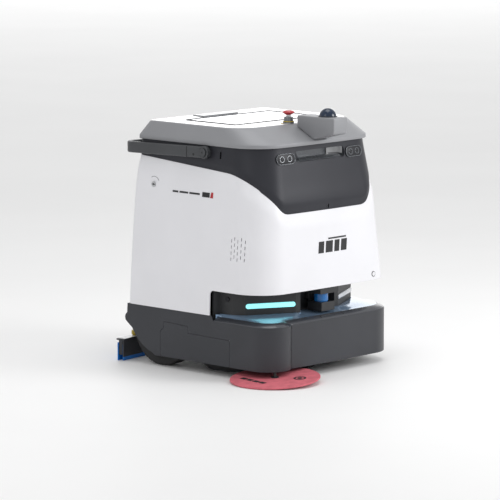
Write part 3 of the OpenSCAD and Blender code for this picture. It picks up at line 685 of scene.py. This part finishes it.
def make_nose():
    """Sensor nose: a rounded block that leans on the lid's front slope and overhangs it."""
    low, high = corner("sensor_nose", 0), corner("sensor_nose", 1)
    rise = (LID_TOP - LID_KNEE) / 98
    knee_y, heel, back = -452, -446, high.y

    def on_slope(y):
        return (y, LID_KNEE + (y - knee_y) * rise + 0.4)

    shape = [on_slope(back), (back, high.z), (low.y, high.z), (low.y, 806), (low.y + 5, 800), on_slope(heel)]
    nose = prism("nose_cover", shape, low.x, high.x, "yz", "lid_silver", "lid", ["sensor_nose"])
    bevel(nose, 4.0, 4)
    dome = corner("lidar_dome", 0), corner("lidar_dome", 1)
    middle = (dome[0] + dome[1]) / 2
    cut(nose, cutter(disc(middle.x, middle.y, 26, 48), high.z - 34, high.z + 5, "xy"))
    place = Matrix.Translation((middle.x, middle.y, high.z))
    r, foot = (dome[1].x - dome[0].x) / 2, 0.2

    def bowl(radius, angles):
        return [(radius * math.cos(math.radians(a)), foot + radius * math.sin(math.radians(a))) for a in angles]

    shell = [(r, foot)] + bowl(r, range(6, 91, 6)) + bowl(r - 2, range(90, 3, -6)) + [(r - 2, foot), (r, foot)]
    lathe("dome_cover", shell, place, "dome_clear", "lid", ["lidar_dome"])
    collar = [(r + 2.4, -0.6), (r + 2.4, 1.2), (r + 1.2, 2.6), (r + 0.3, 2.8), (r + 0.3, -0.6), (r + 2.4, -0.6)]
    lathe("dome_collar", collar, place, "black_plastic", "lid")


def make_stop():
    """Mushroom stop button on its collar, with the yellow ring at the foot."""
    low, high = corner("estop_base", 0), corner("estop_base", 1)
    middle = (low + high) / 2
    place = Matrix.Translation((middle.x, middle.y, low.z))
    tall = high.z - low.z
    collar = [(0, 0), (19, 0), (19, 2.6), (18, 3.8), (16.2, 4.4), (15.4, tall - 3), (14.6, tall), (8.2, tall),
              (8.2, 8), (0, 8)]
    lathe("stop_collar", collar, place, "recess_grey", "lid", ["estop_base"])
    yellow = [(16.4, 4.2), (18.4, 4.0), (18.8, 5.2), (18.2, 6.8), (16.2, 7.0), (16.4, 4.2)]
    lathe("stop_ring", yellow, place, "knob_yellow", "lid")
    cap_low, cap_high = corner("estop_button", 0), corner("estop_button", 1)
    cap = Matrix.Translation((middle.x, middle.y, cap_low.z))
    h = cap_high.z - cap_low.z
    mushroom = [(5.06, 0), (12, 0), (17, 3.6), (20.6, 6.6), (21.1, 8.4), (20.2, 10), (15, h - 2.2), (8, h - 0.5),
                (0, h), (0, 6.2), (5.06, 6.2), (5.06, 0)]
    lathe("stop_cap", mushroom, cap, "stop_red", "estop_button", ["estop_button"])
    beside = Matrix.Translation((middle.x - 34, middle.y - 2, LID_TOP - 0.2))
    lathe("status_lamp", [(0, 0), (4.2, 0), (4.2, 1.2), (3.2, 2.0), (0, 2.2)], beside, "knob_yellow", "lid")


# ---- bail handle ----

def make_handle():
    """Bail: flat arms that thicken into the rear bar round two curved corners."""
    high = corner("carry_handle", 1)
    arm, bar, half_h, bend, steps = 7, 10, 19, 42, 12
    out, rear = high.x, high.y
    half_route = [(arm - out, PIVOT_Y + k * (rear - bend - PIVOT_Y) / steps, arm) for k in range(steps + 1)]
    for k in range(1, steps + 1):
        a = math.radians(180 - 90 * k / steps)
        t = arm + (bar - arm) * k / steps
        half_route.append((bend - out + (bend - t) * math.cos(a), rear - bend + (bend - t) * math.sin(a), t))
    route = half_route + [(x, rear - bar, bar) for x in (-200, -100, 0, 100, 200)]
    route += [(-x, y, t) for x, y, t in reversed(half_route)]
    pivot = Matrix.Translation((0, PIVOT_Y, PIVOT_Z))
    droop = pivot @ turned(-1.3, "X") @ pivot.inverted()
    section = []
    for i, (x, y, t) in enumerate(route):
        a, b = route[max(0, i - 1)], route[min(len(route) - 1, i + 1)]
        along = Vector((b[0] - a[0], b[1] - a[1], 0)).normalized()
        side = Vector((along.y, -along.x, 0))
        section.append((droop @ Vector((x, y, PIVOT_Z)), side, Vector((0, 0, 1)),
                        box_outline(-t, -half_h, t, half_h, 4.5, 4)))
    sweep("bail", route, section, "handle_grey", "carry_handle", ["carry_handle"])
    hub = [(0, -7), (19.5, -7), (21, -5.5), (21, 5.5), (19.5, 7), (15.5, 7), (14.6, 6.2), (0, 6.2)]
    screw = [(0, 0), (4.4, 0), (4.4, 0.6), (3.4, 0.6), (2.8, 0.5), (0, 0.5)]
    for s, name in ((-1, "right"), (1, "left")):
        outward = turned(90 * s, "Y")
        place = Matrix.Translation((s * 309, PIVOT_Y, PIVOT_Z)) @ outward
        lathe(f"{name}_bail_hub", hub, place, "handle_grey", "carry_handle")
        seam = [(s * (out + 0.1), PIVOT_Y + 76, PIVOT_Z + z) for z in (-20, 16)]
        wire(f"{name}_bail_seam", seam, 1.1, "dark_line", "carry_handle")
        place = Matrix.Translation((s * (out - 0.4), PIVOT_Y + 44, PIVOT_Z - 9)) @ outward
        lathe(f"{name}_bail_screw", screw, place, "dark_line", "carry_handle")


# ---- base, bumper and deck ----

# The lobe is the round housing over the side brush; the front bulges along a very large arc.
LOBE_X, LOBE_Y, LOBE_R = -256, -452, 75
BASE_HALF, BASE_FRONT, BASE_CORNER, BULGE = 331, 502, 120, 10
BULGE_R = 5483


def front_line(x, d):
    """The front edge's y at x, drawn in by d."""
    return d - BASE_FRONT - BULGE + x * x / (2 * BULGE_R)


def base_outline(d, rear=147):
    """Base seen from above, drawn in by d, from its right rear round the front to its left rear."""
    hw, r = BASE_HALF - d, LOBE_R - d
    valley = math.degrees(math.asin((55.8 - d) / r))
    pts = [(-hw, rear)] + line((-hw, rear), (-hw, 96), 30) + line((-hw, 96), (-hw, LOBE_Y), 60)
    pts += arc(LOBE_X, LOBE_Y, r, 180, 360 - valley, 30)
    corner_x = BASE_HALF - BASE_CORNER
    corner_y = BASE_CORNER - BASE_FRONT - 6
    first = pts[-1][0] + 1.0
    pts += [(first, front_line(first, d))]
    pts += [(x, front_line(x, d)) for x, _ in line((first, 0), (corner_x, 0), 40)]
    pts += arc(corner_x, corner_y, BASE_CORNER - d, -90, 0, 24)
    pts += line((hw, corner_y), (hw, 96), 60) + line((hw, 96), (hw, rear), 30) + [(hw, rear)]
    return pts


BUMP_Y, BUMP_Z, BUMP_R = 130, 152, 17
BUMP_END = 138.5
STEP_Y = -265  # ahead of it the base is as low as the bumper


def wheel_arch(y):
    """Height of the side plates' lower edge: level, then hollow up to the underside of the rear bump."""
    arch_y, arch_z, arch_r = -34, 208, 172
    arch_end, end_z = 113.4, 119.4
    if y < arch_y + arch_r * math.cos(math.radians(-74)):
        return BASE_LOW
    if y < arch_end:
        return max(BASE_LOW, arch_z - math.sqrt(arch_r ** 2 - (y - arch_y) ** 2))
    if y < BUMP_END:
        return lookup(y, [(arch_end, end_z), (125, 127), (BUMP_END, 137.3)])
    return BUMP_Z - math.sqrt(max(0.0, BUMP_R ** 2 - (y - BUMP_Y) ** 2))


def base_top_at(y):
    """Height of the base's upper edge: it steps up to meet the casing and drops over the rear bump."""
    if y < STEP_Y:
        return BASE_TOP
    if y < 136:
        return SKIRT_LOW - 0.6
    if y < BUMP_END:
        return BUMP_Z + 14.7 + (BUMP_END - y) * 2
    return BUMP_Z + math.sqrt(max(0.0, BUMP_R ** 2 - (y - BUMP_Y) ** 2))


def wall_strip(name, part, rows, body, replaced, thick=WALL):
    """The part of the base's wall whose outline points the function part accepts."""
    outer, inner = base_outline(0), base_outline(thick)
    chosen = [k for k in range(len(outer)) if part(outer[k])]

    def grid(path):
        points = []
        for r in range(rows + 1):
            row = []
            for k in chosen:
                low, top = wheel_arch(outer[k][1]), base_top_at(outer[k][1])
                row.append((*path[k], low + (top - low) * r / rows))
            points.append(row)
        return points

    return skin(name, grid(outer), grid(inner), False, "base_dark", body, replaced)


def door_cutter(s):
    """Opening for a side door, with a gap g round it; s is -1 on the right and 1 on the left."""
    g = 0.7
    seam = [(-22 + g, 30), (-22 + g, 122 + g), (-37 + g, 134 + g), (-40 + g, 156 + g), (-149 - g, 152 + g),
            (-154 - g, 129 + g), (-346.8, 126 + g), (-346.8, 30)]
    return cutter(seam, *sorted((s * (BASE_HALF - 12), s * (BASE_HALF + 12))), "yz")


def make_base():
    """Side plates with the doors' openings, the rear bump, and the bumper, which starts at the crease."""
    crease, left_plate = -205.4, 320
    right = wall_strip("base_right", lambda p: p[0] < crease, 16, "body", ["base_shell"])
    cut(right, door_cutter(-1))
    left = wall_strip("base_left", lambda p: p[0] > left_plate and p[1] > -346, 16, "body", [])
    cut(left, door_cutter(1))
    bump = arc(BUMP_Y, BUMP_Z, BUMP_R, -60, 60, 10) + arc(140, 176, 7, 240, 180, 5) + [(136, SKIRT_LOW - 0.6)]
    inside = [(y - 5, z) for y, z in reversed(bump)]
    prism("base_rear", bump + inside, WALL - BASE_HALF, BASE_HALF - WALL, "yz", "base_dark", "body")
    wall_strip("bumper_cover", lambda p: p[0] >= crease and not (p[0] > left_plate and p[1] > -356), 12,
               "bumper", ["bumper"], thick=5)


# Foot of the wall behind the shelf, as its left half from the scanner's recess outwards.
HALF_FOOT = [(74, -405), (83, -438), (104, -436), (263, -353), (286, -319), (292, -270), (316, -267)]
WALL_FOOT = [(-x, y) for x, y in reversed(HALF_FOOT)] + HALF_FOOT
DECK_TOP = corner("front_deck", 1).z
BORDER_OUT, BORDER_IN = 1.0, 26
# Height of the border at distances in from its outer edge.
BORDER_ROWS = [(0.0, BASE_TOP + 0.5), (1.5, BASE_TOP + 2.5), (22.5, DECK_TOP - 0.8), (26.0, DECK_TOP)]


def resample(path, count):
    """The path as count points at even steps of its length."""
    lengths = [0.0]
    for a, b in zip(path, path[1:]):
        lengths.append(lengths[-1] + math.dist(a, b))
    points, k = [], 0
    for i in range(count):
        at = lengths[-1] * i / (count - 1)
        while k < len(path) - 2 and lengths[k + 1] < at:
            k += 1
        t = (at - lengths[k]) / max(1e-9, lengths[k + 1] - lengths[k])
        points.append(mix_point(path[k], path[k + 1], t))
    return points


def make_deck():
    """Glossy shelf that rises to the wall, with a border that slopes down to the bumper and the base."""
    wall_end = WALL_FOOT[0][1]
    pairs = [(a, b) for a, b in zip(base_outline(BORDER_OUT), base_outline(BORDER_IN)) if a[1] < wall_end]
    points, cols = [], len(pairs)
    for d, z in BORDER_ROWS:
        points += [(*mix_point(a, b, d / BORDER_IN), z) for a, b in pairs]
    start = len(points)
    points += [(*a, BASE_TOP + 0.4) for a, b in pairs]
    faces = grid_faces(len(BORDER_ROWS), cols, 0, False)
    faces += [(k, k + 1, start + k + 1, start + k) for k in range(cols - 1)]
    add("deck_border", points, faces, "deck_edge", "body")
    count, steps, rise = 120, 6, 8.5
    rim, foot = resample([b for a, b in pairs], count), resample(WALL_FOOT, count)
    top, bottom = [], []
    for r in range(steps + 1):
        row = [mix_point(a, b, r / steps) for a, b in zip(rim, foot)]
        top.append([(x, y, DECK_TOP + rise * ease(r / steps)) for x, y in row])
        bottom.append([(x, y, BASE_TOP + 0.6) for x, y in row])
    # The shelf's pale blue-grey colour is painted reflection, not the deck's own dark colour.
    skin("deck_shelf", top, bottom, False, "deck_gloss", "body", ["front_deck"])


def make_latch():
    """Outline of the flap in the deck's border."""
    corners = [(-52, 9), (-50, 16), (-44, 20), (50, 20), (56, 16), (59, 9)]
    drawn_in = (BORDER_IN - BORDER_OUT) / BORDER_IN
    route = [(x, front_line(x, BORDER_OUT + d * drawn_in), lookup(d, BORDER_ROWS)) for x, d in corners]
    wire("flap_line", route, 1.7, "dark_line", "body")


# ---- marks and small parts ----

def on_casing(x, z, lift):
    """Point on the front of the casing at x and z, lifted off it."""
    return (x, -(eased(z, FRONT) + BOW * (1 - (x / eased(z, HALF_W)) ** 2)) - lift, z)


def on_side(y, z, lift):
    """Point on the casing's right side at y and z, lifted off it."""
    return (-eased(z, HALF_W) - lift, y, z)


def patch(name, place, corners, look="dark_line", across=4):
    """Thin patch laid on the casing by the function place; its four corners run round from the lower left."""
    steps, lift, sunk = 4, 0.8, -0.6
    start_low, end_low, end_high, start_high = corners

    def grid(off):
        rows = []
        for r in range(steps + 1):
            start, end = mix_point(start_low, start_high, r / steps), mix_point(end_low, end_high, r / steps)
            rows.append([place(*mix_point(start, end, k / across), off) for k in range(across + 1)])
        return rows

    skin(name, grid(lift), grid(sunk), False, look, "body")


def make_marks():
    """Plain bars that stand in for the lettering on the front and on the side."""
    low, high, lean = 402, 440, 6
    for k, (x, wide) in enumerate(((-52, 26), (-17, 34), (26, 24), (59, 28))):
        end = x + wide
        patch(f"front_mark_{k}", on_casing, [(x, low), (end, low), (end + lean, high), (x + lean, high)])
    patch("front_mark_bar", on_casing, [(0, 445), (88, 445), (89, 450), (1, 450)], across=12)
    for k, (y, wide) in enumerate(((-62, 26), (-94, 40), (-140, 48))):
        patch(f"side_mark_{k}", on_side, [(y, 596), (y - wide, 596), (y - wide, 602), (y, 602)])
    patch("side_mark_box", on_side, [(-200, 591), (-234, 591), (-234, 607), (-200, 607)])
    patch("side_mark_tip", on_side, [(-237, 590), (-250, 590), (-250, 609), (-241, 609)], "mark_red")


def make_lock():
    """Lock cylinder with a keyhole of painted shade, a collar round it and a curved line over it."""
    outward = turned(-90, "Y")
    place = Matrix.Translation(on_side(LOCK_Y, LOCK_Z, 0.2)) @ outward
    collar = [(9.6, -1), (9.6, 0.6), (11.5, 1.2), (13.0, 0.5), (13.0, -1), (9.6, -1)]
    lathe("lock_collar", collar, place, "shell_white", "body")
    # The keyhole is painted shade: a dark disc and bar laid on the cylinder's face where the opening would be
    # dark.
    face = corner("key_lock", 0).x
    hole = [(0, -0.3), (3.2, -0.3), (3.2, 0.25), (0, 0.25)]
    place = Matrix.Translation((face, LOCK_Y, LOCK_Z)) @ outward
    lathe("lock_hole_painted_shade", hole, place, "dark_line", "key_lock", steps=24)
    keyway = box_outline(LOCK_Y - 8, LOCK_Z - 1.2, LOCK_Y + 8, LOCK_Z + 1.2)
    prism("lock_slot_painted_shade", keyway, face - 0.3, face + 0.5, "yz", "dark_line", "key_lock")
    angles = [math.radians(a) for a in range(-60, 31, 6)]
    bow = [on_side(LOCK_Y + 26 * math.sin(a), LOCK_Z + 26 * math.cos(a), 0.1) for a in angles]
    wire("lock_arc", bow, 0.8, "recess_grey", "body")


def make_grip():
    """Inside of the grip recess: a step along its floor and a hollow, paler right-hand end."""
    floor, shelf, half, rear = 710.4, 721, 119, -397.2
    step = [(-441, floor), (-432, 717), (-420, 720), (rear, shelf), (rear, floor)]
    prism("grip_step", step, -half, half, "yz", "recess_grey", "body")
    hollow = arc(80, -437, 38, 0, 90, 12) + [(118.6, -398.5)]
    prism("grip_end", hollow, shelf, 745.6, "xy", "lid_pale_and_sheen", "body")
    facet = [(-half, shelf), (-half, 745), (-108, 741), (-96, shelf)]
    prism("grip_facet", facet, -436, -398, "xz", "fascia_grey", "body")


def make_cap():
    """Dark line round the screw cap at the casing's lower left front corner."""
    loop = [on_casing(x, z, 0.2) for x, z in disc(CAP_X, CAP_Z, 8.4, 24)]
    wire("cap_line", loop, 1.0, "dark_line", "body", closed=True)


def make_lights():
    """Light bars: the right one is lit, the left one is not."""
    for s, side, look in ((-1, "right", "light_cyan"), (1, "left", "light_off")):
        place = Matrix.Translation((s * 183, -392.5, 233)) @ turned(27.7 * s, "Z")
        place = place @ Matrix.Translation((0, 0.5, 0))
        bar = prism(f"{side}_light_bar", capsule_outline(174, 16.5), -4, 4, "xz", look, "body", ["light_bars"],
                    place=place)
        bevel(bar, 2.0)


def make_pad():
    """Side pad on a dark hub, with plain bars and a ring on its upper face where the real one is printed."""
    lean = Matrix.Translation((-280, -504, 11.7)) @ turned(10, "Z") @ turned(-4.2, "Y")
    pad = [(0, 0), (148, 0), (149.7, 1.2), (149.7, 3.8), (148.6, 5), (0, 5)]
    lathe("side_pad", pad, lean, "pad_pink", "side_brush", ["side_brush"], steps=128)
    hub = [(13, 5), (13, 7), (11, 8), (5.6, 8.5), (5, 10), (5, 78), (0, 78)]
    lathe("pad_hub", hub, lean, "black_plastic", "side_brush")
    back, print_z = lean.inverted(), 5.05
    ringed = back @ Vector((-242, -580, 14))
    print_place = lean @ Matrix.Translation((ringed.x, ringed.y, print_z))
    band = [(15, 0), (15, 0.5), (22, 0.5), (22, 0), (15, 0)]
    dot = [(0, 0), (0, 0.5), (9, 0.5), (9, 0), (0, 0)]
    lathe("pad_ring", band, print_place, "dark_line", "side_brush", steps=10)
    lathe("pad_dot", dot, print_place, "dark_line", "side_brush", steps=10)
    stops = [back @ Vector(p) for p in ((-349, -415, 10), (-355, -475, 10), (-359, -537, 10))]
    pitch, length, half = 30, 24, 9
    for k, (a, b) in enumerate(zip(stops, stops[1:])):
        along = Vector((b.x - a.x, b.y - a.y, 0)).normalized()
        side = Vector((-along.y, along.x, 0))
        for n in range(2):
            begin = Vector((a.x, a.y, 0)) + along * (3 + pitch * n)
            end = begin + along * length
            bar = [begin - side * half, end - side * half, end + side * half, begin + side * half]
            prism(f"pad_bar_{k}_{n}", [(p.x, p.y) for p in bar], print_z, 5.5, "xy", "dark_line", "side_brush",
                  place=lean)


def make_squeegee_plate():
    """Pale cover strips along the top of the squeegee's bracket, either side of its nozzle."""
    radius, rear, ahead = 1800, 5.5, -25.5
    centre_y = corner("squeegee_blades", 1).y + 0.3 - radius
    for s, side in ((-1, "right"), (1, "left")):
        turns = [math.asin(x / radius) * s for x in range(46, 342, 12)]
        strip = [((radius + rear) * math.sin(t), centre_y + (radius + rear) * math.cos(t)) for t in turns]
        strip += [((radius + ahead) * math.sin(t), centre_y + (radius + ahead) * math.cos(t)) for t in turns[::-1]]
        prism(f"{side}_squeegee_plate", strip, 75.05, 75.7, "xy", "pale_plate", "squeegee")


# ---- studio ----

LAMPS = {  # place, what it is aimed at, width and power
    "key": ((1.95, -3.5, 1.9), (0, -0.3, 0.5), 1.7, 64),
    "side": ((-3.4, -0.8, 2.2), (0, 0, 0.4), 1.4, 9),
    "top": ((0, -0.4, 3.6), (0, -0.1, 0.8), 2.0, 30),
    "back": ((15.5, 14.5, 3.6), (0, 0, 0.8), 14.0, 740),
}


def aim_at(obj, place, aim):
    """Puts a lamp or camera at a place, in metres, and turns it towards another."""
    obj.location = place
    obj.rotation_euler = (Vector(aim) - Vector(place)).to_track_quat("-Z", "Y").to_euler()
    bpy.context.scene.collection.objects.link(obj)


def make_studio():
    """Plain pale floor, an even white surround and four soft lamps."""
    world = bpy.data.worlds.new("studio")
    bpy.context.scene.world = world
    world.use_nodes = True
    sky = world.node_tree.nodes["Background"]
    sky.inputs["Color"].default_value = (1.0, 1.0, 1.0, 1)
    sky.inputs["Strength"].default_value = 0.70
    half = 30
    mesh = bpy.data.meshes.new("floor")
    mesh.from_pydata([(x, y, 0) for x, y in box_outline(-half, -half, half, half)], [], [(0, 1, 2, 3)])
    floor = bpy.data.objects.new("floor", mesh)
    floor_look = material("floor", (0.88, 0.88, 0.88), 0.6, vary=0.01, cloud=1.0, bump=0.0, wear=0.0)
    mesh.materials.append(floor_look)
    bpy.context.scene.collection.objects.link(floor)
    for name, (place, aim, width, power) in LAMPS.items():
        data = bpy.data.lights.new(name, "AREA")
        data.energy = power
        data.size = width
        lamp = bpy.data.objects.new(name, data)
        lamp.visible_camera = False
        aim_at(lamp, place, aim)
    bpy.context.scene.view_settings.view_transform = "Standard"


def make_camera():
    """Long lens at the photograph's viewing angle."""
    data = bpy.data.cameras.new("camera")
    data.sensor_width = 36
    data.lens = 252
    data.clip_end = 100
    camera = bpy.data.objects.new("camera", data)
    aim_at(camera, (-8.558, -8.246, 2.073), (0.0573, -0.070, 0.3615))
    bpy.context.scene.camera = camera


make_casing()
make_eyes()
make_lid()
make_nose()
make_stop()
make_handle()
make_base()
make_deck()
make_latch()
make_marks()
make_lock()
make_cap()
make_grip()
make_lights()
make_pad()
make_squeegee_plate()
make_studio()
make_camera()
